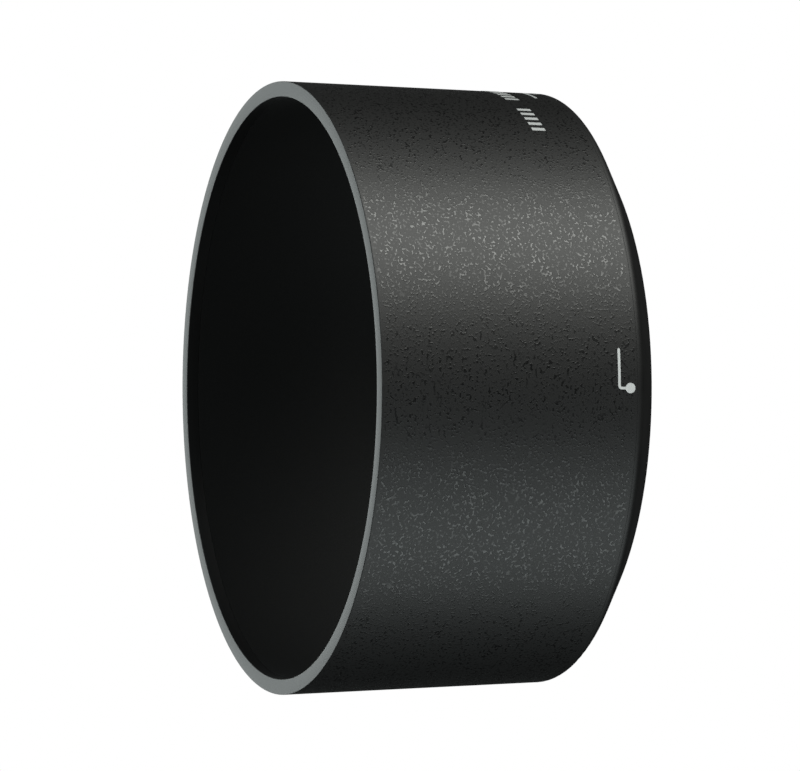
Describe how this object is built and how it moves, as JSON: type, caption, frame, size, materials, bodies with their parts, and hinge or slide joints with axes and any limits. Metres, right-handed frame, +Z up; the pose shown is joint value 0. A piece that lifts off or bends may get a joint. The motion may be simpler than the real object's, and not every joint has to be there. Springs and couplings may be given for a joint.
{
  "type": "lens hood",
  "caption": "Round bayonet lens hood: tapering grained barrel, flocked inside, with a screwed-on rear mount ring, bayonet lugs and click springs.",
  "frame": {"origin": "centre of the pilot bore at the rear face, where the lens enters", "axes": "+Y along the optical axis towards the lens, +Z up on a level lens, +X through the index dot"},
  "size_m": [0.078, 0.0383, 0.078],
  "materials": {
    "barrel_plastic": "coarse moulded grain, black",
    "flock": "black flock, no gloss",
    "ring_plastic": "smooth satin black",
    "spring_steel": "rolled strip",
    "screw_steel": "blackened",
    "ink": "pad-printed light grey"
  },
  "bodies": {
    "hood": {"barrel_shell": "barrel_plastic", "flock_liner": "flock", "mount_ring": "ring_plastic", "ring_screws": "screw_steel", "index_dot": "ink", "index_line": "ink", "lock_mark": "ink", "label_bars": "ink"},
    "click_leaf_1": {"click_spring_1": "spring_steel"},
    "click_leaf_2": {"click_spring_2": "spring_steel"},
    "click_leaf_3": {"click_spring_3": "spring_steel"}
  },
  "joints": [
    {"name": "click_1", "type": "hinge", "parent": "hood", "child": "click_leaf_1", "pos_m": [-0.02444, -0.00445, 0.01979], "axis": [0, -1, 0], "range_deg": [0, 1.8], "stiffness_Nm_per_rad": 1.2},
    {"name": "click_2", "type": "hinge", "parent": "hood", "child": "click_leaf_2", "pos_m": [-0.00492, -0.00445, -0.03106], "axis": [0, -1, 0], "range_deg": [0, 1.8], "stiffness_Nm_per_rad": 1.2},
    {"name": "click_3", "type": "hinge", "parent": "hood", "child": "click_leaf_3", "pos_m": [0.02936, -0.00445, 0.01127], "axis": [0, -1, 0], "range_deg": [0, 1.8], "stiffness_Nm_per_rad": 1.2}
  ]
}
